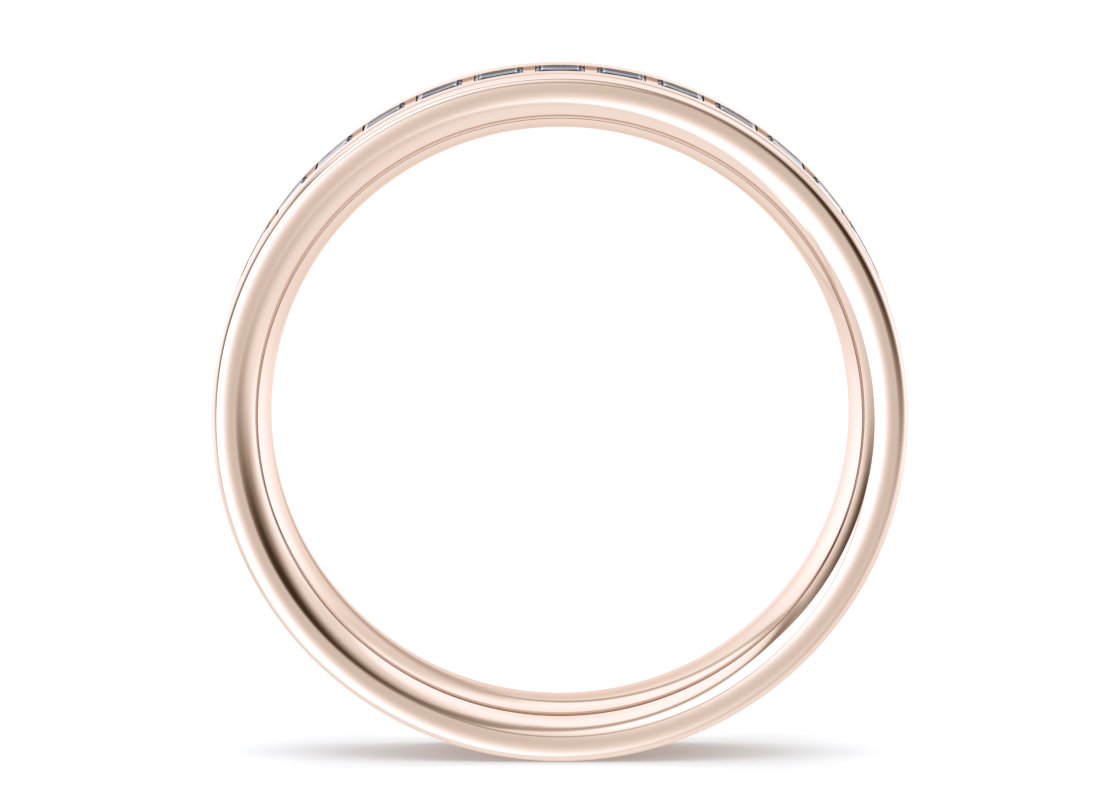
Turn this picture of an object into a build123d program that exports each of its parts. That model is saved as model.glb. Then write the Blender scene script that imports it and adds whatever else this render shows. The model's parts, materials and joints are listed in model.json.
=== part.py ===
from build123d import *
import os
from math import asin, cos, pi, sin

# Channel-set half-eternity wedding band, standing upright.
# The ring axis is +Y, the middle stone is at the top (+Z) and the origin is the
# centre of the finger hole. All lengths are in millimetres, angles in degrees.
# Ring angles are measured from the top, positive towards +X.

# --- the band -------------------------------------------------------------
BORE_RADIUS = 8.50          # finger hole at its narrowest, a 17 mm ring size
OUTER_RADIUS = 10.235       # outer face of the rails
LAND_HALF = 0.20            # straight strip in the middle of the comfort-fit curve
COMFORT_ARC_RADIUS = 1.71   # the comfort-fit curve, from the land to the end of the sleeve
SIDE_ARC_RADIUS = 1.11      # the rounded side, tangent to the comfort-fit curve
EDGE_ARC_RADIUS = 0.25      # the outer edge, tangent to the side and to the outer face

# --- how the metal is divided -----------------------------------------------
SLEEVE_HALF = 1.29          # the inner sleeve ends here, seen as a hairline joint
SLEEVE_RADIUS = 9.10        # outside of the sleeve, seat of everything above it
CHANNEL_HALF = 0.80         # half the opening between the two rails
RAIL_LIP_CHAMFER = 0.02     # broken edge along the channel opening
BED_RADIUS = 10.16          # top of the bars between the stones

# --- the stones -------------------------------------------------------------
STONE_COUNT = 17
STONE_PITCH = 360 / 35
BED_END_ANGLE = 88.0        # the set half of the band runs this far each way
GROOVE_END_ANGLE = 87.2     # the bearing grooves stop just past the last stone

TABLE_RADIUS = 10.19        # distance of each flat level from the ring axis
CROWN_STEP_RADIUS = 10.14
GIRDLE_TOP_RADIUS = 10.08
GIRDLE_BOTTOM_RADIUS = 10.05
PAVILION_STEP_1_RADIUS = 9.85
PAVILION_STEP_2_RADIUS = 9.62
KEEL_RADIUS = 9.44

# Each level of a stone: distance from the axis, half length along the band,
# half width across the band.
STONE_LEVELS = [
    (TABLE_RADIUS, 0.510, 0.620),
    (CROWN_STEP_RADIUS, 0.625, 0.770),
    (GIRDLE_TOP_RADIUS, 0.705, 0.875),
    (GIRDLE_BOTTOM_RADIUS, 0.705, 0.875),
    (PAVILION_STEP_1_RADIUS, 0.580, 0.700),
    (PAVILION_STEP_2_RADIUS, 0.380, 0.450),
    (KEEL_RADIUS, 0.050, 0.170),
]

# Bearing groove cut in each rail: the girdle sits in it.
GROOVE_HALF = 0.89
GROOVE_BOTTOM_AT_WALL = 9.945
GROOVE_BOTTOM = 10.035
GROOVE_TOP = 10.120
GROOVE_TOP_AT_WALL = 10.160

# Pocket in the bed round and under each stone: straight above the girdle, tapering below it.
POCKET_GIRDLE_RADIUS = 10.05
POCKET_GIRDLE_HALF = 0.73
POCKET_FLOOR_RADIUS = 9.38
POCKET_FLOOR_HALF = 0.36

# Centres of the three arcs on the back half of the band, as (radius, y).
COMFORT_END = asin((SLEEVE_HALF - LAND_HALF) / COMFORT_ARC_RADIUS)
COMFORT_CENTRE = (BORE_RADIUS + COMFORT_ARC_RADIUS, LAND_HALF)
ARC_SHIFT = COMFORT_ARC_RADIUS - SIDE_ARC_RADIUS
SIDE_CENTRE = (
    COMFORT_CENTRE[0] - ARC_SHIFT * cos(COMFORT_END),
    COMFORT_CENTRE[1] + ARC_SHIFT * sin(COMFORT_END),
)
EDGE_CENTRE_RADIUS = OUTER_RADIUS - EDGE_ARC_RADIUS
CENTRE_GAP = SIDE_ARC_RADIUS - EDGE_ARC_RADIUS
SIDE_END = pi / 2 + asin((EDGE_CENTRE_RADIUS - SIDE_CENTRE[0]) / CENTRE_GAP)
EDGE_CENTRE = (EDGE_CENTRE_RADIUS, SIDE_CENTRE[1] + CENTRE_GAP * sin(SIDE_END))


def arc_point(centre, arc_radius, turn):
    """Point on an arc; turn is 0 facing the finger, 90 degrees at the side and 180 outside."""
    return (centre[0] - arc_radius * cos(turn), centre[1] + arc_radius * sin(turn))


def arc(centre, arc_radius, start, end):
    """An arc of the section between two turns."""
    turns = (start, (start + end) / 2, end)
    return ThreePointArc(*[arc_point(centre, arc_radius, turn) for turn in turns])


def comfort_arc():
    """The comfort-fit curve, from the land to the end of the sleeve."""
    return arc(COMFORT_CENTRE, COMFORT_ARC_RADIUS, 0, COMFORT_END)


SLEEVE_EDGE_RADIUS = arc_point(COMFORT_CENTRE, COMFORT_ARC_RADIUS, COMFORT_END)[0]


def centred_sweep(profile, span):
    """Turn a profile (radius, y) about the ring axis, centred on the top of the ring."""
    turned = revolve(profile, Axis.Y, revolution_arc=span)
    return Rot(0, -(90 + span / 2), 0) * turned


def comfort_fit_sleeve():
    """The inner liner the finger touches; its middle is a true cylinder."""
    with BuildSketch() as section:
        with BuildLine():
            comfort_arc()
            mirror(comfort_arc(), about=Plane.XZ)
            Line((BORE_RADIUS, -LAND_HALF), (BORE_RADIUS, LAND_HALF))
            Polyline(
                (SLEEVE_EDGE_RADIUS, SLEEVE_HALF),
                (SLEEVE_RADIUS, SLEEVE_HALF),
                (SLEEVE_RADIUS, -SLEEVE_HALF),
                (SLEEVE_EDGE_RADIUS, -SLEEVE_HALF),
            )
        make_face()
    return revolve(section.sketch, Axis.Y)


def groove_profile():
    """Section of the bearing groove, from just inside the channel to its floor."""
    inside = CHANNEL_HALF - 0.05
    return Polygon(
        (GROOVE_BOTTOM_AT_WALL, inside),
        (GROOVE_BOTTOM_AT_WALL, CHANNEL_HALF),
        (GROOVE_BOTTOM, GROOVE_HALF),
        (GROOVE_TOP, GROOVE_HALF),
        (GROOVE_TOP_AT_WALL, CHANNEL_HALF),
        (GROOVE_TOP_AT_WALL, inside),
        align=None,
    )


def back_rail():
    """The rail on the +Y side: rounded side, outer edge, channel wall and bearing groove."""
    with BuildSketch() as section:
        with BuildLine():
            arc(SIDE_CENTRE, SIDE_ARC_RADIUS, COMFORT_END, SIDE_END)
            arc(EDGE_CENTRE, EDGE_ARC_RADIUS, SIDE_END, pi)
            Polyline(
                (OUTER_RADIUS, EDGE_CENTRE[1]),
                (OUTER_RADIUS, CHANNEL_HALF + RAIL_LIP_CHAMFER),
                (OUTER_RADIUS - RAIL_LIP_CHAMFER, CHANNEL_HALF),
                (SLEEVE_RADIUS, CHANNEL_HALF),
                (SLEEVE_RADIUS, SLEEVE_HALF),
                (SLEEVE_EDGE_RADIUS, SLEEVE_HALF),
            )
        make_face()
    ring = revolve(section.sketch, Axis.Y)
    return ring - centred_sweep(groove_profile(), 2 * GROOVE_END_ANGLE)


def front_rail():
    """The rail on the -Y side, the mirror image of the back one."""
    return mirror(back_rail(), about=Plane.XZ)


def pocket():
    """The space round the top stone, cut right across the channel."""
    outline = Plane.XZ * Polygon(
        (-POCKET_FLOOR_HALF, POCKET_FLOOR_RADIUS),
        (POCKET_FLOOR_HALF, POCKET_FLOOR_RADIUS),
        (POCKET_GIRDLE_HALF, POCKET_GIRDLE_RADIUS),
        (POCKET_GIRDLE_HALF, OUTER_RADIUS),
        (-POCKET_GIRDLE_HALF, OUTER_RADIUS),
        (-POCKET_GIRDLE_HALF, POCKET_GIRDLE_RADIUS),
        align=None,
    )
    return extrude(outline, CHANNEL_HALF + 0.1, both=True)


def stone_angles():
    """Ring angle of every stone, from one end of the row to the other."""
    first = -(STONE_COUNT - 1) / 2 * STONE_PITCH
    return [first + index * STONE_PITCH for index in range(STONE_COUNT)]


def channel_bed():
    """Seat strip between the rails, with a bar left standing between the stones."""
    strip = Polygon(
        (SLEEVE_RADIUS, -CHANNEL_HALF),
        (BED_RADIUS, -CHANNEL_HALF),
        (BED_RADIUS, CHANNEL_HALF),
        (SLEEVE_RADIUS, CHANNEL_HALF),
        align=None,
    )
    bed = centred_sweep(strip, 2 * BED_END_ANGLE)
    for angle in stone_angles():
        bed -= Rot(0, angle, 0) * pocket()
    return bed


def lower_shank():
    """Plain infill that closes the channel round the lower half of the band."""
    infill = Polygon(
        (SLEEVE_RADIUS, -CHANNEL_HALF),
        (OUTER_RADIUS, -CHANNEL_HALF),
        (OUTER_RADIUS, CHANNEL_HALF),
        (SLEEVE_RADIUS, CHANNEL_HALF),
        align=None,
    )
    span = 360 - 2 * BED_END_ANGLE
    return Rot(0, 180, 0) * centred_sweep(infill, span)


def level_corners(level):
    """The four corners of one flat level of the top stone."""
    radius, half_length, half_width = level
    return [
        (-half_length, -half_width, radius),
        (half_length, -half_width, radius),
        (half_length, half_width, radius),
        (-half_length, half_width, radius),
    ]


def step_cut_stone():
    """A rectangular step-cut stone at the top of the ring, built facet by facet."""
    rings = [level_corners(level) for level in STONE_LEVELS]
    outlines = [rings[0], rings[-1]]
    for upper, lower in zip(rings, rings[1:]):
        for corner in range(4):
            following = (corner + 1) % 4
            outlines.append([upper[corner], upper[following], lower[following], lower[corner]])
    facets = [Face(Wire.make_polygon(outline, close=True)) for outline in outlines]
    return Solid(Shell(facets))


def all_nodes():
    """Every physical piece of the band, by node name."""
    nodes = {
        "comfort_fit_sleeve": comfort_fit_sleeve(),
        "front_rail": front_rail(),
        "back_rail": back_rail(),
        "channel_bed": channel_bed(),
        "lower_shank": lower_shank(),
    }
    stone = step_cut_stone()
    for number, angle in enumerate(stone_angles(), start=1):
        nodes[f"diamond_{number:02d}"] = Rot(0, angle, 0) * stone
    return nodes


os.makedirs("parts", exist_ok=True)
for name, shape in all_nodes().items():
    box = shape.bounding_box()
    print(name, f"{shape.volume:.4f}", box.min, box.max)
    export_step(shape, f"parts/{name}.step")
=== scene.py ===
import json
import math

import bmesh
import bpy
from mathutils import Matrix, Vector


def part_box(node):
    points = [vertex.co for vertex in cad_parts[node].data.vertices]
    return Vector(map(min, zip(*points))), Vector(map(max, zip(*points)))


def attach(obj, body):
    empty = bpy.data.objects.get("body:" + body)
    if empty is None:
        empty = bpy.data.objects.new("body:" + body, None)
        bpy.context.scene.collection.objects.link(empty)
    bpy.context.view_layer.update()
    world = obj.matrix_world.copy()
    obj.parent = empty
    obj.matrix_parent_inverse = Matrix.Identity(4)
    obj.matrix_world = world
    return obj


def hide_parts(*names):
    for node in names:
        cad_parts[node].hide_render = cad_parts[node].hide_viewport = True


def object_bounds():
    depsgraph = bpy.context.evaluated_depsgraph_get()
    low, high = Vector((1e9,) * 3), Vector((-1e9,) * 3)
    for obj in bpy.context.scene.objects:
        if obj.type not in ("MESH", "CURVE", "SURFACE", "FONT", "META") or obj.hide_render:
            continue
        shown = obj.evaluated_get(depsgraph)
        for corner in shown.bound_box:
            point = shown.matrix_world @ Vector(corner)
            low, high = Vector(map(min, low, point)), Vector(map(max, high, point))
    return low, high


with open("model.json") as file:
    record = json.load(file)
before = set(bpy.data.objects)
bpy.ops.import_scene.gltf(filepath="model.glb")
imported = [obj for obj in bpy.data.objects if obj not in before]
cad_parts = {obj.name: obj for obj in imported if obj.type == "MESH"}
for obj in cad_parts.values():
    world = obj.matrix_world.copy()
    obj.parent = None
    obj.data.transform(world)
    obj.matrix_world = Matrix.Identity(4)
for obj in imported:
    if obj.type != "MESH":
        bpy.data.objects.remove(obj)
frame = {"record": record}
cad_low, cad_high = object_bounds()

# The ring axis is Y, the middle stone is at the top (+Z) and the origin is the middle of the
# finger hole. Lengths are in metres; MM turns a millimetre value into metres.
MM = 0.001

# --- sizes read from the frame ------------------------------------------------
BODY = "root"
OUTER_RADIUS = min(-cad_low[0], cad_high[0], -cad_low[2], cad_high[2])
BORE = frame["record"]["mounts"][0]["dims"]
BORE_RADIUS = BORE["r_mm"] * MM
LAND_HALF = BORE["length_mm"] * MM / 2
SLEEVE_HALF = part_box("comfort_fit_sleeve")[1][1]
SLEEVE_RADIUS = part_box("comfort_fit_sleeve")[1][2]
CHANNEL_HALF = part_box("back_rail")[0][1]
STONE_LOW, STONE_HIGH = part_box("diamond_09")
STONE_HALF_LENGTH = STONE_HIGH[0]
STONE_HALF_WIDTH = STONE_HIGH[1]
TABLE_RADIUS = STONE_HIGH[2]
KEEL_RADIUS = STONE_LOW[2]

# --- sizes that repeat the CAD's driving dimensions -----------------------------
COMFORT_ARC_RADIUS = 1.71 * MM
SIDE_ARC_RADIUS = 1.11 * MM
EDGE_ARC_RADIUS = 0.25 * MM
LIP_CHAMFER = 0.02 * MM
BED_RADIUS = 10.16 * MM
STONE_COUNT = 17
STONE_PITCH = math.radians(360 / 35)
BED_END_ANGLE = math.radians(88.0)
GROOVE_END_ANGLE = math.radians(87.2)
GROOVE_HALF = 0.89 * MM
GROOVE_BOTTOM_AT_WALL = 9.945 * MM
GROOVE_BOTTOM = 10.035 * MM
GROOVE_TOP = 10.120 * MM
GROOVE_TOP_AT_WALL = 10.160 * MM
POCKET_GIRDLE_RADIUS = 10.05 * MM
POCKET_GIRDLE_HALF = 0.73 * MM
POCKET_FLOOR_RADIUS = 9.38 * MM
POCKET_FLOOR_HALF = 0.36 * MM

# Where the three arcs of the section end, as turns round the section (0 faces the finger,
# 90 degrees the side, 180 the outside), and their centres on the back half, as (radius, y).
COMFORT_END = math.asin((SLEEVE_HALF - LAND_HALF) / COMFORT_ARC_RADIUS)
COMFORT_CENTRE = (BORE_RADIUS + COMFORT_ARC_RADIUS, LAND_HALF)
ARC_SHIFT = COMFORT_ARC_RADIUS - SIDE_ARC_RADIUS
SIDE_CENTRE = (
    COMFORT_CENTRE[0] - ARC_SHIFT * math.cos(COMFORT_END),
    COMFORT_CENTRE[1] + ARC_SHIFT * math.sin(COMFORT_END),
)
EDGE_CENTRE_RADIUS = OUTER_RADIUS - EDGE_ARC_RADIUS
CENTRE_GAP = SIDE_ARC_RADIUS - EDGE_ARC_RADIUS
SIDE_END = math.pi / 2 + math.asin((EDGE_CENTRE_RADIUS - SIDE_CENTRE[0]) / CENTRE_GAP)
EDGE_CENTRE = (EDGE_CENTRE_RADIUS, SIDE_CENTRE[1] + CENTRE_GAP * math.sin(SIDE_END))

JOINT_RADIUS = COMFORT_CENTRE[0] - COMFORT_ARC_RADIUS * math.cos(COMFORT_END)

# --- fine detail and fineness of the meshes --------------------------------------
JOINT_GAP = 0.011 * MM      # the sleeve joint opens this far on each side
JOINT_DEPTH = 0.030 * MM
WELD_DISTANCE = 1e-8        # corners closer than this are one corner
RING_SEGMENTS = 480
ARC_STEP = math.radians(2)
SHARP_ANGLE = math.radians(25)


def arc_points(centre, arc_radius, start, end):
    """Points (radius, y) along an arc of the section, evenly spaced in turn."""
    steps = max(2, round((end - start) / ARC_STEP))
    points = []
    for step in range(steps + 1):
        turn = start + (end - start) * step / steps
        radius = centre[0] - arc_radius * math.cos(turn)
        points.append((radius, centre[1] + arc_radius * math.sin(turn)))
    return points


def rail_outline(angle):
    """Section of the back rail at a ring angle; its groove is cut only beside the stones."""
    cut = abs(math.remainder(angle, 2 * math.pi)) < GROOVE_END_ANGLE
    groove_half = GROOVE_HALF if cut else CHANNEL_HALF
    side_start = COMFORT_END + JOINT_GAP / SIDE_ARC_RADIUS
    side = arc_points(SIDE_CENTRE, SIDE_ARC_RADIUS, side_start, SIDE_END)
    edge = arc_points(EDGE_CENTRE, EDGE_ARC_RADIUS, SIDE_END, math.pi)
    return side + edge[1:] + [
        (OUTER_RADIUS, CHANNEL_HALF + LIP_CHAMFER),
        (OUTER_RADIUS - LIP_CHAMFER, CHANNEL_HALF),
        (GROOVE_TOP_AT_WALL, CHANNEL_HALF),
        (GROOVE_TOP, groove_half),
        (GROOVE_BOTTOM, groove_half),
        (GROOVE_BOTTOM_AT_WALL, CHANNEL_HALF),
        (SLEEVE_RADIUS, CHANNEL_HALF),
        (SLEEVE_RADIUS, SLEEVE_HALF),
        (JOINT_RADIUS + JOINT_DEPTH, SLEEVE_HALF),
        (JOINT_RADIUS + JOINT_DEPTH, SLEEVE_HALF + JOINT_GAP),
    ]


def sleeve_outline(angle):
    """Section of the inner sleeve, the same at every ring angle."""
    comfort_stop = COMFORT_END - JOINT_GAP / COMFORT_ARC_RADIUS
    back = arc_points(COMFORT_CENTRE, COMFORT_ARC_RADIUS, 0, comfort_stop)
    front = [(radius, -y) for radius, y in reversed(back)]
    foot = JOINT_RADIUS + JOINT_DEPTH
    return front + back + [
        (foot, SLEEVE_HALF - JOINT_GAP),
        (foot, SLEEVE_HALF),
        (SLEEVE_RADIUS, SLEEVE_HALF),
        (SLEEVE_RADIUS, -SLEEVE_HALF),
        (foot, -SLEEVE_HALF),
        (foot, -SLEEVE_HALF + JOINT_GAP),
    ]


def on_ring(radius, y, angle):
    """The point at a radius, a place along the finger and a ring angle from the top."""
    return Vector((radius * math.sin(angle), y, radius * math.cos(angle)))


def finish_mesh(bm, name, nodes, material, smooth):
    """Turns a bmesh into a piece that rides on the ring and stands for its CAD nodes."""
    bmesh.ops.remove_doubles(bm, verts=bm.verts, dist=WELD_DISTANCE)
    bmesh.ops.recalc_face_normals(bm, faces=bm.faces)
    for face in bm.faces:
        face.smooth = smooth
    for edge in bm.edges:
        edge.smooth = edge.calc_face_angle(0.0) < SHARP_ANGLE
    mesh = bpy.data.meshes.new(name)
    bm.to_mesh(mesh)
    bm.free()
    mesh.materials.append(material)
    piece = bpy.data.objects.new(name, mesh)
    bpy.context.collection.objects.link(piece)
    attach(piece, BODY)
    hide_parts(*nodes)
    return piece


def skin(bm, rings, capped):
    """Faces between each ring of corners and the next, and over the two ends if capped."""
    for ring, following in zip(rings, rings[1:]):
        for index in range(len(ring)):
            after = (index + 1) % len(ring)
            bm.faces.new((ring[index], ring[after], following[after], following[index]))
    if capped:
        bm.faces.new(rings[0])
        bm.faces.new(rings[-1])


def lathe(outline, start, end):
    """A bmesh of an outline turned about the ring axis; a part turn gets flat ends."""
    whole = math.isclose(end - start, 2 * math.pi)
    segments = max(1, round(RING_SEGMENTS * (end - start) / (2 * math.pi)))
    bm = bmesh.new()
    rings = []
    for segment in range(segments + (0 if whole else 1)):
        angle = start + (end - start) * segment / segments
        rings.append([bm.verts.new(on_ring(radius, y, angle)) for radius, y in outline(angle)])
    skin(bm, rings + rings[:1] if whole else rings, capped=not whole)
    return bm


def make_sleeve(material):
    """The inner liner, a full circle."""
    bm = lathe(sleeve_outline, 0, 2 * math.pi)
    return finish_mesh(bm, "sleeve", ["comfort_fit_sleeve"], material, True)


def make_rail(name, node, side, material):
    """One rail; side is 1 for the back one and -1 for its mirror image at the front."""
    def outline(angle):
        return [(radius, side * y) for radius, y in rail_outline(angle)]

    bm = lathe(outline, 0, 2 * math.pi)
    return finish_mesh(bm, name, [node], material, True)


def make_lower_shank(material):
    """The plain infill round the lower half, between the rails."""
    def outline(angle):
        return [
            (SLEEVE_RADIUS, -CHANNEL_HALF),
            (OUTER_RADIUS, -CHANNEL_HALF),
            (OUTER_RADIUS, CHANNEL_HALF),
            (SLEEVE_RADIUS, CHANNEL_HALF),
        ]

    bm = lathe(outline, BED_END_ANGLE, 2 * math.pi - BED_END_ANGLE)
    return finish_mesh(bm, "shank_infill", ["lower_shank"], material, True)


def stone_angles():
    """Ring angle of every stone, from one end of the row to the other."""
    first = -(STONE_COUNT - 1) / 2 * STONE_PITCH
    return [first + index * STONE_PITCH for index in range(STONE_COUNT)]


def bed_outline():
    """Points (radius, angle) along the top of the bed: bars, with a pocket under each stone."""
    corners = [
        (-POCKET_GIRDLE_HALF, math.sqrt(BED_RADIUS ** 2 - POCKET_GIRDLE_HALF ** 2)),
        (-POCKET_GIRDLE_HALF, POCKET_GIRDLE_RADIUS),
        (-POCKET_FLOOR_HALF, POCKET_FLOOR_RADIUS),
    ]
    corners += [(-along, height) for along, height in reversed(corners)]
    points = [(BED_RADIUS, -BED_END_ANGLE)]
    for angle in stone_angles():
        for along, height in corners:
            points.append((math.hypot(along, height), angle + math.atan2(along, height)))
    points.append((BED_RADIUS, BED_END_ANGLE))
    return points


def make_bed(material):
    """The seat strip: a row of four-cornered sections, one at each point of its top."""
    bm = bmesh.new()
    rows = []
    for radius, angle in bed_outline():
        corners = [(SLEEVE_RADIUS, -1), (radius, -1), (radius, 1), (SLEEVE_RADIUS, 1)]
        rows.append([bm.verts.new(on_ring(r, side * CHANNEL_HALF, angle)) for r, side in corners])
    skin(bm, rows, capped=True)
    return finish_mesh(bm, "stone_bed", ["channel_bed"], material, False)


SQUARE = [(-1, -1), (1, -1), (1, 1), (-1, 1)]     # corners in order round a square

# Each flat level of a stone: height as a share of the way from keel to table, then half length
# and half width as shares of the girdle's.
STONE_LEVELS = [
    (1.000, 0.723, 0.709),
    (0.933, 0.887, 0.880),
    (0.853, 1.000, 1.000),
    (0.813, 1.000, 1.000),
    (0.547, 0.823, 0.800),
    (0.240, 0.539, 0.514),
    (0.000, 0.071, 0.194),
]


def make_stone(number, angle, material):
    """One rectangular step-cut stone, facet by facet."""
    bm = bmesh.new()
    along = Vector((math.cos(angle), 0, -math.sin(angle)))
    levels = []
    for share, length_share, width_share in STONE_LEVELS:
        centre = on_ring(KEEL_RADIUS + share * (TABLE_RADIUS - KEEL_RADIUS), 0, angle)
        end = along * (length_share * STONE_HALF_LENGTH)
        side = Vector((0, width_share * STONE_HALF_WIDTH, 0))
        levels.append([bm.verts.new(centre + end * a + side * b) for a, b in SQUARE])
    skin(bm, levels, capped=True)
    name = f"stone_{number:02d}"
    return finish_mesh(bm, name, [f"diamond_{number:02d}"], material, False)


# --- materials ---------------------------------------------------------------------
class Nodes:
    """Short calls for building a node tree."""

    def __init__(self, tree):
        self.tree = tree
        tree.nodes.clear()

    def add(self, kind, **settings):
        """A new node with its settings."""
        node = self.tree.nodes.new(kind)
        for name, value in settings.items():
            setattr(node, name, value)
        return node

    def link(self, source, target):
        """Connects an output to an input."""
        self.tree.links.new(source, target)

    def feed(self, sockets, values):
        """Gives each input its value: a number, a colour or another node's output."""
        for socket, value in zip(sockets, values):
            if isinstance(value, bpy.types.NodeSocket):
                self.link(value, socket)
            else:
                socket.default_value = value

    def math(self, operation, first, second=0.0, third=0.0):
        """A math node's result; each input is a number or another node's output."""
        node = self.add("ShaderNodeMath", operation=operation)
        self.feed(node.inputs, (first, second, third))
        return node.outputs[0]

    def smooth(self, value, low, high, at_low, at_high):
        """A smooth step of value between two limits."""
        node = self.add("ShaderNodeMapRange", interpolation_type="SMOOTHSTEP")
        self.link(value, node.inputs["Value"])
        node.inputs["From Min"].default_value = low
        node.inputs["From Max"].default_value = high
        node.inputs["To Min"].default_value = at_low
        node.inputs["To Max"].default_value = at_high
        return node.outputs["Result"]

    def band(self, value, limits):
        """1 between the two middle limits, falling smoothly to 0 at the outer ones."""
        start, full, ease, end = limits
        rise = self.smooth(value, start, full, 0, 1)
        return self.math("MULTIPLY", rise, self.smooth(value, ease, end, 1, 0))

    def blend(self, value, target, share):
        """The value moved towards a target by a share."""
        return self.math("ADD", value, self.math(
            "MULTIPLY", share, self.math("SUBTRACT", target, value)
        ))

    def length(self, across, rise):
        """Length of a vector with two parts."""
        return self.math("SQRT", self.math(
            "ADD", self.math("MULTIPLY", across, across), self.math("MULTIPLY", rise, rise)
        ))

    def curve(self, value, points):
        """A smooth curve through (input, output) points."""
        low, high = points[0][0], points[-1][0]
        floor = min(output for _, output in points)
        rise = max(output for _, output in points) - floor
        node = self.add("ShaderNodeFloatCurve")
        curve = node.mapping.curves[0]
        for place, output in points[1:-1]:
            curve.points.new((place - low) / (high - low), (output - floor) / rise)
        curve.points[0].location = (0, (points[0][1] - floor) / rise)
        curve.points[-1].location = (1, (points[-1][1] - floor) / rise)
        for point in curve.points:
            point.handle_type = "AUTO_CLAMPED"
        node.mapping.update()
        along = self.math("DIVIDE", self.math("SUBTRACT", value, low), high - low)
        self.link(along, node.inputs["Value"])
        return self.math("MULTIPLY_ADD", node.outputs[0], rise, floor)

    def parts(self, vector):
        """The x, y and z of a vector."""
        node = self.add("ShaderNodeSeparateXYZ")
        self.link(vector, node.inputs[0])
        return node.outputs

    def noise(self, vector, scale, detail):
        """Smooth noise at a place, about 0.5 on average."""
        node = self.add("ShaderNodeTexNoise")
        node.inputs["Scale"].default_value = scale
        node.inputs["Detail"].default_value = detail
        self.link(vector, node.inputs["Vector"])
        return node.outputs["Fac"]

    def stretched(self, vector, turn, stretch):
        """The place turned and stretched, for marks that run one way."""
        node = self.add("ShaderNodeMapping")
        self.link(vector, node.inputs["Vector"])
        node.inputs["Rotation"].default_value = turn
        node.inputs["Scale"].default_value = stretch
        return node.outputs[0]

    def mixed(self, share, first, second, **settings):
        """Two colours mixed; a colour mix node's share is input 0 and its colours 6 and 7."""
        node = self.add("ShaderNodeMix", data_type="RGBA", **settings)
        self.feed((node.inputs[0], *node.inputs[6:8]), (share, first, second))
        return node.outputs[2]


GOLD_WARM = (0.760, 0.590, 0.500, 1)
GOLD_PALE = (0.735, 0.575, 0.490, 1)
GOLD_EDGE_TINT = (0.84, 0.72, 0.65, 1)      # keeps the metal pink where it is seen edge-on
JOINT_PAINTED_SHADE = (0.10, 0.09, 0.085, 1)            # grey shade painted down in the sleeve joint, where shade falls in the groove
TINT_DRIFT = (220, 3)                       # scale and detail of the slow drift in the gold's tint
HAZE = (900, 4)                             # the same for its polishing haze
HAZE_RANGE = (0.35, 0.75)                   # noise over which the haze comes in
POLISH = (0.010, 0.028)                     # roughness of the cleanest and the haziest polish
SCRATCH_GRAIN = (1, 2)                      # scale and detail of the noise that makes scratches
SCRATCH_RANGE = (0.68, 0.76)                # noise over which a scratch deepens
SCRATCH_ROUGHNESS = 0.05                    # added along a fine scratch
SCRATCH_DEPTH = 0.0004 * MM
SCRATCH_STRENGTH = 0.3
JOINT_REACH = 1.05                          # the painted shade reaches this share of the gap to each side
# Fine scratches run three ways: a turn of the place, then its stretch.
SCRATCH_RUNS = [
    ((0.3, 0.1, 0.9), (300, 9000, 9000)),
    ((1.1, 0.7, 0.2), (9000, 260, 9000)),
    ((0.6, 1.4, 2.1), (8000, 8000, 240)),
]


def scratches(nodes, place):
    """1 on a fine scratch and 0 off it."""
    total = 0.0
    for turn, stretch in SCRATCH_RUNS:
        grain = nodes.noise(nodes.stretched(place, turn, stretch), *SCRATCH_GRAIN)
        total = nodes.math("ADD", nodes.smooth(grain, *SCRATCH_RANGE, 0, 1), total)
    return nodes.math("MINIMUM", total, 1.0)


def painted_joint_shade_mask(nodes, place):
    """1 down in the joint between the sleeve and a rail, where grey shade is painted."""
    x, y, z = nodes.parts(place)
    aside = nodes.math("SUBTRACT", nodes.math("ABSOLUTE", y), SLEEVE_HALF)
    close = nodes.math("LESS_THAN", nodes.math("ABSOLUTE", aside), JOINT_GAP * JOINT_REACH)
    inside = nodes.math("LESS_THAN", nodes.length(x, z), SLEEVE_RADIUS)
    return nodes.math("MULTIPLY", close, inside)


def rose_gold_material():
    """Mirror-polished rose gold with faint polishing haze, fine scratches and grey shade painted
    down in the sleeve joint.
    """
    material = bpy.data.materials.new("rose_gold_polished")
    material.use_nodes = True
    nodes = Nodes(material.node_tree)
    shader = nodes.add("ShaderNodeBsdfPrincipled")
    output = nodes.add("ShaderNodeOutputMaterial")
    nodes.link(shader.outputs[0], output.inputs[0])
    shader.inputs["Metallic"].default_value = 1.0
    shader.inputs["Specular Tint"].default_value = GOLD_EDGE_TINT
    place = nodes.add("ShaderNodeTexCoord").outputs["Object"]

    gold = nodes.mixed(nodes.noise(place, *TINT_DRIFT), GOLD_WARM, GOLD_PALE)
    # grey shade painted into the colour down in the joint between the sleeve and each rail
    colour = nodes.mixed(painted_joint_shade_mask(nodes, place), gold, JOINT_PAINTED_SHADE)
    nodes.link(colour, shader.inputs["Base Color"])

    marks = scratches(nodes, place)
    haze = nodes.smooth(nodes.noise(place, *HAZE), *HAZE_RANGE, *POLISH)
    roughness = nodes.math("MULTIPLY_ADD", marks, SCRATCH_ROUGHNESS, haze)
    nodes.link(roughness, shader.inputs["Roughness"])
    bump = nodes.add("ShaderNodeBump", invert=True)
    bump.inputs["Strength"].default_value = SCRATCH_STRENGTH
    bump.inputs["Distance"].default_value = SCRATCH_DEPTH
    nodes.link(marks, bump.inputs["Height"])
    nodes.link(bump.outputs[0], shader.inputs["Normal"])
    return material
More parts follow.
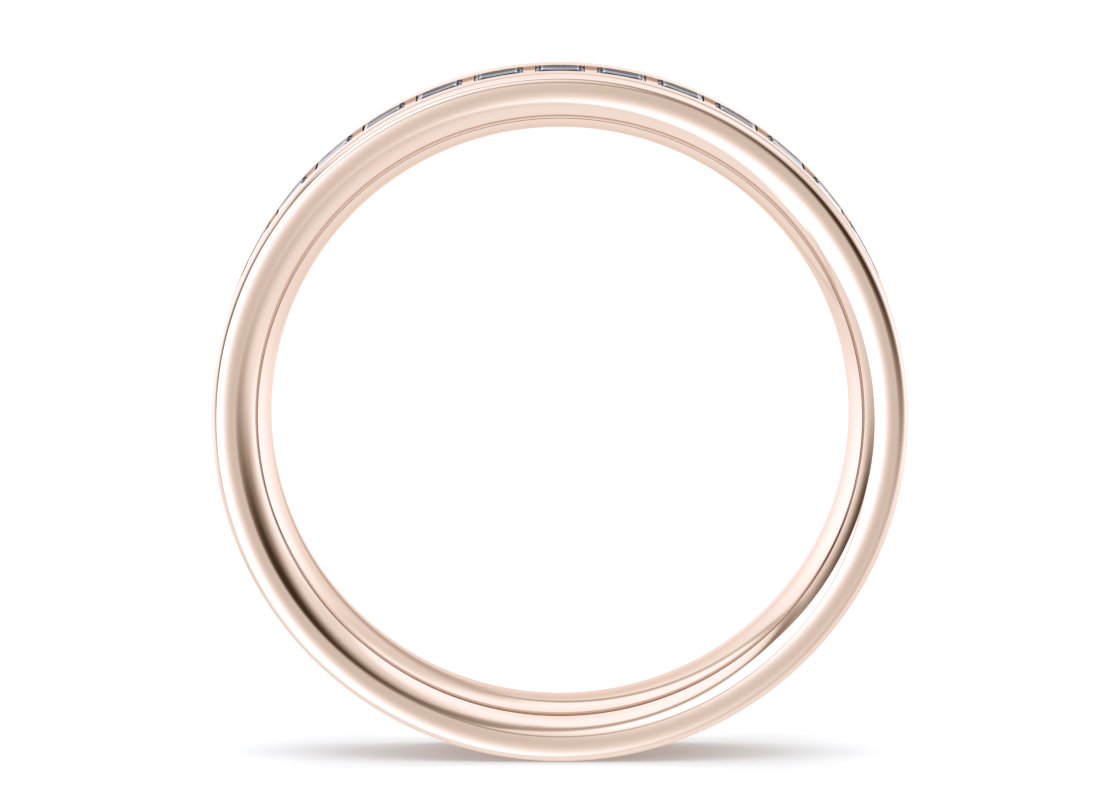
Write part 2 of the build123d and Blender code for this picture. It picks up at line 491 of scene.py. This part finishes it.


# Strips of light and dark painted into a stone's colour as reflections of its facets, from its
# front edge (-1) to its back edge (1) and from its middle (0) to its ends (1): where each starts,
# and its colour.
ACROSS_PAINTED_REFLECTIONS = [
    (-1.00, (0.165, 0.163, 0.172)),
    (-0.62, (0.006, 0.006, 0.008)),
    (-0.22, (0.275, 0.275, 0.285)),
    (0.32, (0.108, 0.107, 0.113)),
    (0.72, (0.44, 0.44, 0.455)),
]
END_PAINTED_REFLECTIONS = [
    (0.00, (1.00, 1.00, 1.00)),
    (0.70, (1.70, 1.70, 1.70)),
    (0.80, (0.25, 0.25, 0.28)),
    (0.90, (1.30, 1.30, 1.30)),
]


def strips(nodes, place, low, high, table):
    """Bands of colour by place, which runs from low to high."""
    ramp = nodes.add("ShaderNodeValToRGB")
    ramp.color_ramp.interpolation = "CONSTANT"
    elements = ramp.color_ramp.elements
    for start, _ in table[2:]:
        elements.new((start - low) / (high - low))
    for element, (start, colour) in zip(elements, table):
        element.position = (start - low) / (high - low)
        element.color = (*colour, 1)
    share = nodes.math("DIVIDE", nodes.math("SUBTRACT", place, low), high - low)
    nodes.link(share, ramp.inputs[0])
    return ramp.outputs[0]


STONE_CLEAR = (0.93, 0.94, 0.97, 1)
# pale grey of the glint painted on facets seen edge-on
STONE_PAINTED_GLINT = (0.72, 0.72, 0.73, 1)
DIAMOND_INDEX = 2.417
SMEAR = (1500, 3)                   # scale and detail of faint smears on the facets
SMEAR_RANGE = (0.4, 0.8)            # noise over which a smear comes in
SMEAR_ROUGHNESS = (0.0, 0.02)
CLOUD = (700, 2)                    # scale and detail of the slow change from stone to stone
CLOUD_RANGE = (0.3, 0.7)
CLOUD_TONE = (0.85, 1.1)
STEP_ROUGHNESS = 0.25
# How far a facet is turned from the view (0 square on, 1 edge-on) when the painted glint and the
# matt look with painted reflections come in, and how much of each there is at the start and at the
# end.
PAINTED_GLINT_RANGE = (0.89, 0.94)
PAINTED_GLINT_SHARE = (0, 0.75)
STEPS_RANGE = (0.45, 0.85)
STEPS_SHARE = (0.06, 0.97)


def clear_shader(nodes, place):
    """The clear stone itself, with faint smears on its facets."""
    clear = nodes.add("ShaderNodeBsdfPrincipled")
    clear.inputs["Base Color"].default_value = STONE_CLEAR
    clear.inputs["Transmission Weight"].default_value = 1.0
    clear.inputs["IOR"].default_value = DIAMOND_INDEX
    smears = nodes.smooth(nodes.noise(place, *SMEAR), *SMEAR_RANGE, *SMEAR_ROUGHNESS)
    nodes.link(smears, clear.inputs["Roughness"])
    return clear.outputs[0]


def painted_step_reflections(nodes, place):
    """Reflections of a stone's steps painted as strips of light and dark, by place on the stone."""
    x, y, z = nodes.parts(place)
    across = nodes.math("DIVIDE", y, STONE_HALF_WIDTH)
    turns = nodes.math("DIVIDE", nodes.math("ARCTAN2", x, z), STONE_PITCH)
    from_middle = nodes.math("SUBTRACT", turns, nodes.math("ROUND", turns))
    reach = STONE_HALF_LENGTH / (TABLE_RADIUS * STONE_PITCH)
    along = nodes.math("DIVIDE", nodes.math("ABSOLUTE", from_middle), reach)
    across_painted = strips(nodes, across, -1, 1, ACROSS_PAINTED_REFLECTIONS)
    end_painted = strips(nodes, along, 0, 1, END_PAINTED_REFLECTIONS)
    tone = nodes.mixed(1.0, across_painted, end_painted, blend_type="MULTIPLY")
    cloud = nodes.smooth(nodes.noise(place, *CLOUD), *CLOUD_RANGE, *CLOUD_TONE)
    return nodes.mixed(1.0, tone, cloud, blend_type="MULTIPLY")


def diamond_material():
    """Colourless stone, faintly cool; seen edge-on, reflections of its steps and a glint are
    painted on it.
    """
    material = bpy.data.materials.new("diamond_step_cut")
    material.use_nodes = True
    nodes = Nodes(material.node_tree)
    output = nodes.add("ShaderNodeOutputMaterial")
    place = nodes.add("ShaderNodeTexCoord").outputs["Object"]
    facing = nodes.add("ShaderNodeLayerWeight").outputs["Facing"]

    # a matt shader whose colour carries the painted reflections of the steps and the painted glint
    steps = nodes.add("ShaderNodeBsdfPrincipled")
    steps.inputs["Roughness"].default_value = STEP_ROUGHNESS
    steps.inputs["Specular IOR Level"].default_value = 0.0
    painted_glint_share = nodes.smooth(facing, *PAINTED_GLINT_RANGE, *PAINTED_GLINT_SHARE)
    # a pale glint painted over the painted reflections where a facet is seen edge-on
    painted_colour = nodes.mixed(painted_glint_share, painted_step_reflections(nodes, place), STONE_PAINTED_GLINT)
    nodes.link(painted_colour, steps.inputs["Base Color"])

    mix = nodes.add("ShaderNodeMixShader")
    nodes.link(nodes.smooth(facing, *STEPS_RANGE, *STEPS_SHARE), mix.inputs[0])
    nodes.link(clear_shader(nodes, place), mix.inputs[1])
    nodes.link(steps.outputs[0], mix.inputs[2])
    nodes.link(mix.outputs[0], output.inputs[0])
    return material


def floor_material():
    """Plain matt white, without gloss."""
    material = bpy.data.materials.new("floor_white")
    material.use_nodes = True
    shader = material.node_tree.nodes["Principled BSDF"]
    shader.inputs["Base Color"].default_value = FLOOR_WHITE
    shader.inputs["Roughness"].default_value = FLOOR_ROUGHNESS
    shader.inputs["Specular IOR Level"].default_value = 0.0
    return material


# --- the studio --------------------------------------------------------------------
FLOOR_HALF = 2.0
FLOOR_WHITE = (0.825, 0.81, 0.79, 1)    # a little warm, to look white under the cool studio
FLOOR_ROUGHNESS = 0.9
VIEW_ELEVATION = math.radians(8.9)
VIEW_DISTANCE = 0.280
VIEW_AIM = 0.00034          # the camera aims this far above the middle of the ring
LENS = 304.7
SENSOR = 36.0
NEAREST = 0.001             # nothing nearer to the camera is drawn
KEY_SIZE = 0.30
KEY_POWER = 0.35            # watts
KEY_PLACE = (0, -0.02, 0.30)
BACKDROP = 1.1              # brightness of the plain white that the camera sees


def make_floor():
    """A plain pale floor that the ring stands on."""
    bm = bmesh.new()
    height = cad_low[2]
    bm.faces.new([bm.verts.new((x * FLOOR_HALF, y * FLOOR_HALF, height)) for x, y in SQUARE])
    mesh = bpy.data.meshes.new("floor")
    bm.to_mesh(mesh)
    bm.free()
    mesh.materials.append(floor_material())
    floor = bpy.data.objects.new("floor", mesh)
    bpy.context.collection.objects.link(floor)
    floor.visible_glossy = False


def make_camera():
    """Square on from the front, a little above, and far enough away for little perspective."""
    data = bpy.data.cameras.new("camera")
    data.lens = LENS
    data.sensor_width = SENSOR
    data.clip_start = NEAREST
    camera = bpy.data.objects.new("camera", data)
    bpy.context.collection.objects.link(camera)
    back = Vector((0, -math.cos(VIEW_ELEVATION), math.sin(VIEW_ELEVATION)))
    up = Vector((0, math.sin(VIEW_ELEVATION), math.cos(VIEW_ELEVATION)))
    camera.location = up * VIEW_AIM + back * VIEW_DISTANCE
    camera.rotation_euler = (math.pi / 2 - VIEW_ELEVATION, 0, 0)
    bpy.context.scene.camera = camera


# The studio round the ring, as its polish shows it. Angles are in degrees: azimuth 0 is the
# camera's side and 90 is +X. Brightness 1 is a plain white card.
#
# SURROUND, DARK_GAP, PANELS and the numbers of the window and of the shade on it came from a
# least-squares program, fitted to the brightness of the photograph's reflections and rounded.
# Some were changed after that. They are not chosen by eye.
#
# Brightness of the plain surround at each elevation, from straight down to straight up.
SURROUND = [
    (-90, 1.23), (-60, 1.22), (-40, 1.19), (-20, 1.27), (-8, 1.43),
    (8, 1.28), (30, 1.11), (44, 1.43), (54, 1.51), (72, 1.41), (90, 1.24),
]
# The dark gap between the walls and the ceiling, which widens into a dark flag on the right:
# azimuth, height, brightness, and how far it fades out above and below.
DARK_GAP = [
    (-180, 46.0, 0.56, 7, 7),
    (-155, 49.0, 0.66, 7, 7),
    (-133, 46.5, 0.76, 7, 7),
    (-112, 38.5, 0.78, 6, 6),
    (-90, 34.5, 0.66, 6, 6),
    (-70, 33.5, 0.42, 7, 7),
    (-57, 34.0, 0.31, 7, 7),
    (-40, 40.0, 0.60, 7, 5),
    (-15, 42.0, 0.56, 8, 5),
    (0, 41.0, 0.55, 12, 8),
    (9, 30.5, 0.45, 26, 14),
    (18, 19.5, 0.22, 32, 22),
    (28, 9.0, 0.04, 30, 31),
    (45, 6.5, 0.20, 26, 29),
    (68, 2.5, 0.92, 20, 26),
    (84, 1.0, 1.30, 17, 25),
    (156, 40.0, 0.80, 7, 7),
    (180, 46.0, 0.56, 7, 7),
]
GAP_END = (72, 84)          # the gap fades out between these azimuths
GAP_AGAIN = (150, 164)      # and comes back between these
GAP_CORE = 0.1              # this share of its fade is fully dark
# A glazing bar across the window, and the far edge of the floor: azimuth, height, brightness.
WINDOW_BAR = [
    (-52, 3.0, 1.20),
    (-30, 10.5, 1.30),
    (-18, 15.5, 1.05),
    (-8, 18.0, 0.75),
    (2, 19.0, 0.55),
    (14, 19.5, 0.40),
]
FLOOR_EDGE = [
    (-160, -32.5, 1.02),
    (-120, -31.0, 1.04),
    (-90, -35.0, 1.02),
    (-60, -39.0, 1.12),
]
LINE_HALF = 1.0             # half height of both, before their soft edges
LINE_SOFT = 2.0
LINE_FADE = 15.0            # the lines fade out past their ends

# Soft-edged panels, laid one over the other: the azimuths, then the elevations, where each starts,
# is full, stops being full and ends, and its brightness.
PANELS = [
    ("left_glow", (-178, -120, -114, -68), (-26, 5, 10, 52), 1.62),
    ("right_glow", (63, 91, 107, 139), (-39, 11, 13, 40), 1.58),
    ("grey_wall", (103, 125, 155, 179), (27, 36, 43, 66), 1.02),
    ("back_flag", (143, 159, 163, 174), (-10, 5, 23, 67), 0.70),
    ("front_floor", (-38, 21, 30, 63), (-60, -17, 14, 67), 0.83),
    ("left_shade", (-98, -58, -52, -48), (-37, 0, 35, 38), 0.58),
    ("left_flag", (-79, -55, -52, -49), (-11, 4, 8, 36), 0.10),
]

# The big front window: straight left edge, leaning out below the horizon, and a round right side.
WINDOW_LEFT = -50.5
WINDOW_EDGE = 1.2
WINDOW_LEAN = 0.28
WINDOW_LEAN_BELOW = -5
WINDOW_CORNER = -15.5       # the top and bottom edges are level up to this azimuth
WINDOW_MIDDLE = -4.7
WINDOW_REACH = 41.0         # half height, and the reach of the round side beyond the corner
WINDOW_SOFT = 0.12
WINDOW_BRIGHTNESS = 1.95
SHADE_CENTRE = (14, 0)      # a soft shadow on the window
SHADE_REACH = (48, 58)
SHADE_CORE = 0.2
SHADE_BRIGHTNESS = 0.85

TONE_POWERS = (0.86, 1.0, 1.13)     # red, green, blue: dark panels are brown, bright ones cool
TONE_LIFTS = (1.0, 1.05, 1.13)      # the lights themselves are cooler still
LIFT_RANGE = (1.15, 1.7)            # brightness over which the lifts come in


def window_mask(nodes, azimuth, elevation):
    """1 on the window and 0 off it."""
    below = nodes.math("MAXIMUM", nodes.math("SUBTRACT", WINDOW_LEAN_BELOW, elevation), 0.0)
    across = nodes.math("MULTIPLY_ADD", below, WINDOW_LEAN, azimuth)
    left = nodes.smooth(across, WINDOW_LEFT - WINDOW_EDGE, WINDOW_LEFT + WINDOW_EDGE, 0, 1)
    beyond = nodes.math("MAXIMUM", nodes.math("SUBTRACT", azimuth, WINDOW_CORNER), 0.0)
    rise = nodes.math("SUBTRACT", elevation, WINDOW_MIDDLE)
    spread = nodes.math("DIVIDE", nodes.length(beyond, rise), WINDOW_REACH)
    return nodes.math(
        "MULTIPLY", left, nodes.smooth(spread, 1 - WINDOW_SOFT, 1 + WINDOW_SOFT, 1, 0)
    )


def shade_mask(nodes, azimuth, elevation):
    """The soft shadow on the window, strongest at its centre."""
    across = nodes.math("SUBTRACT", azimuth, SHADE_CENTRE[0])
    rise = nodes.math("SUBTRACT", elevation, SHADE_CENTRE[1])
    spread = nodes.length(
        nodes.math("DIVIDE", across, SHADE_REACH[0]), nodes.math("DIVIDE", rise, SHADE_REACH[1])
    )
    return nodes.smooth(spread, SHADE_CORE, 1, 1, 0)


def column(nodes, azimuth, table, index):
    """One column of a table, read at an azimuth."""
    return nodes.curve(azimuth, [(row[0], row[index]) for row in table])


def line_over(nodes, azimuth, elevation, table, level):
    """The level with a thin darker line laid over it, between the table's end azimuths."""
    height = nodes.math("SUBTRACT", elevation, column(nodes, azimuth, table, 1))
    reach = LINE_HALF + LINE_SOFT
    start, end = table[0][0], table[-1][0]
    mask = nodes.math(
        "MULTIPLY",
        nodes.band(height, (-reach, -LINE_HALF, LINE_HALF, reach)),
        nodes.band(azimuth, (start - LINE_FADE, start, end, end + LINE_FADE)),
    )
    darker = nodes.math("MINIMUM", level, column(nodes, azimuth, table, 2))
    return nodes.blend(level, darker, mask)


def gap_mask(nodes, azimuth, elevation):
    """1 along the dark gap, fading out above and below it."""
    height = nodes.math("SUBTRACT", elevation, column(nodes, azimuth, DARK_GAP, 1))
    above = nodes.math("DIVIDE", height, column(nodes, azimuth, DARK_GAP, 3))
    below = nodes.math("DIVIDE", height, column(nodes, azimuth, DARK_GAP, 4))
    band = nodes.math(
        "MULTIPLY", nodes.smooth(above, GAP_CORE, 1, 1, 0), nodes.smooth(below, -1, -GAP_CORE, 0, 1)
    )
    along = nodes.math(
        "ADD", nodes.smooth(azimuth, *GAP_END, 1, 0), nodes.smooth(azimuth, *GAP_AGAIN, 0, 1)
    )
    return nodes.math("MULTIPLY", band, along)


def studio_level(nodes):
    """Brightness of the studio in every direction."""
    x, y, z = nodes.parts(nodes.add("ShaderNodeTexCoord").outputs["Generated"])
    azimuth = nodes.math("DEGREES", nodes.math("ARCTAN2", x, nodes.math("MULTIPLY", y, -1.0)))
    elevation = nodes.math("DEGREES", nodes.math("ARCSINE", z))
    level = nodes.curve(elevation, SURROUND)
    for _, azimuths, elevations, brightness in PANELS:
        mask = nodes.math(
            "MULTIPLY", nodes.band(azimuth, azimuths), nodes.band(elevation, elevations)
        )
        level = nodes.blend(level, brightness, mask)
    shade = shade_mask(nodes, azimuth, elevation)
    window = nodes.blend(WINDOW_BRIGHTNESS, SHADE_BRIGHTNESS, shade)
    level = nodes.blend(level, window, window_mask(nodes, azimuth, elevation))
    gap = column(nodes, azimuth, DARK_GAP, 2)
    level = nodes.blend(level, gap, gap_mask(nodes, azimuth, elevation))
    for table in (WINDOW_BAR, FLOOR_EDGE):
        level = line_over(nodes, azimuth, elevation, table, level)
    return level


def studio_colour(nodes, level):
    """A brightness turned into a colour: warm where it is dark and cool where it is bright."""
    tones = nodes.add("ShaderNodeCombineColor")
    for channel, (power, lift) in enumerate(zip(TONE_POWERS, TONE_LIFTS)):
        tone = nodes.math("POWER", level, power)
        lifted = nodes.math("MULTIPLY", tone, nodes.smooth(level, *LIFT_RANGE, 1, lift))
        nodes.link(lifted, tones.inputs[channel])
    return tones.outputs[0]


def make_world():
    """White to the camera; in reflections, a soft white studio with a few grey and dark panels."""
    world = bpy.data.worlds.new("studio")
    bpy.context.scene.world = world
    world.use_nodes = True
    nodes = Nodes(world.node_tree)
    output = nodes.add("ShaderNodeOutputWorld")
    studio = nodes.add("ShaderNodeBackground")
    nodes.link(studio_colour(nodes, studio_level(nodes)), studio.inputs["Color"])
    plain = nodes.add("ShaderNodeBackground")
    plain.inputs["Strength"].default_value = BACKDROP
    plain.inputs["Color"].default_value = (1, 1, 1, 1)
    choose = nodes.add("ShaderNodeMixShader")
    nodes.link(nodes.add("ShaderNodeLightPath").outputs["Is Camera Ray"], choose.inputs[0])
    nodes.link(studio.outputs[0], choose.inputs[1])
    nodes.link(plain.outputs[0], choose.inputs[2])
    nodes.link(choose.outputs[0], output.inputs[0])


def make_key_light():
    """A broad overhead softbox that keeps the floor white."""
    data = bpy.data.lights.new("key", "AREA")
    data.shape = "RECTANGLE"
    data.size = KEY_SIZE
    data.size_y = KEY_SIZE
    data.energy = KEY_POWER
    light = bpy.data.objects.new("key", data)
    light.location = KEY_PLACE
    light.visible_glossy = False
    bpy.context.collection.objects.link(light)


gold = rose_gold_material()
diamond = diamond_material()
make_sleeve(gold)
make_rail("rail_front", "front_rail", -1, gold)
make_rail("rail_back", "back_rail", 1, gold)
make_bed(gold)
make_lower_shank(gold)
for number, angle in enumerate(stone_angles(), start=1):
    make_stone(number, angle, diamond)
make_floor()
make_camera()
make_world()
make_key_light()
bpy.context.scene.view_settings.view_transform = "Standard"
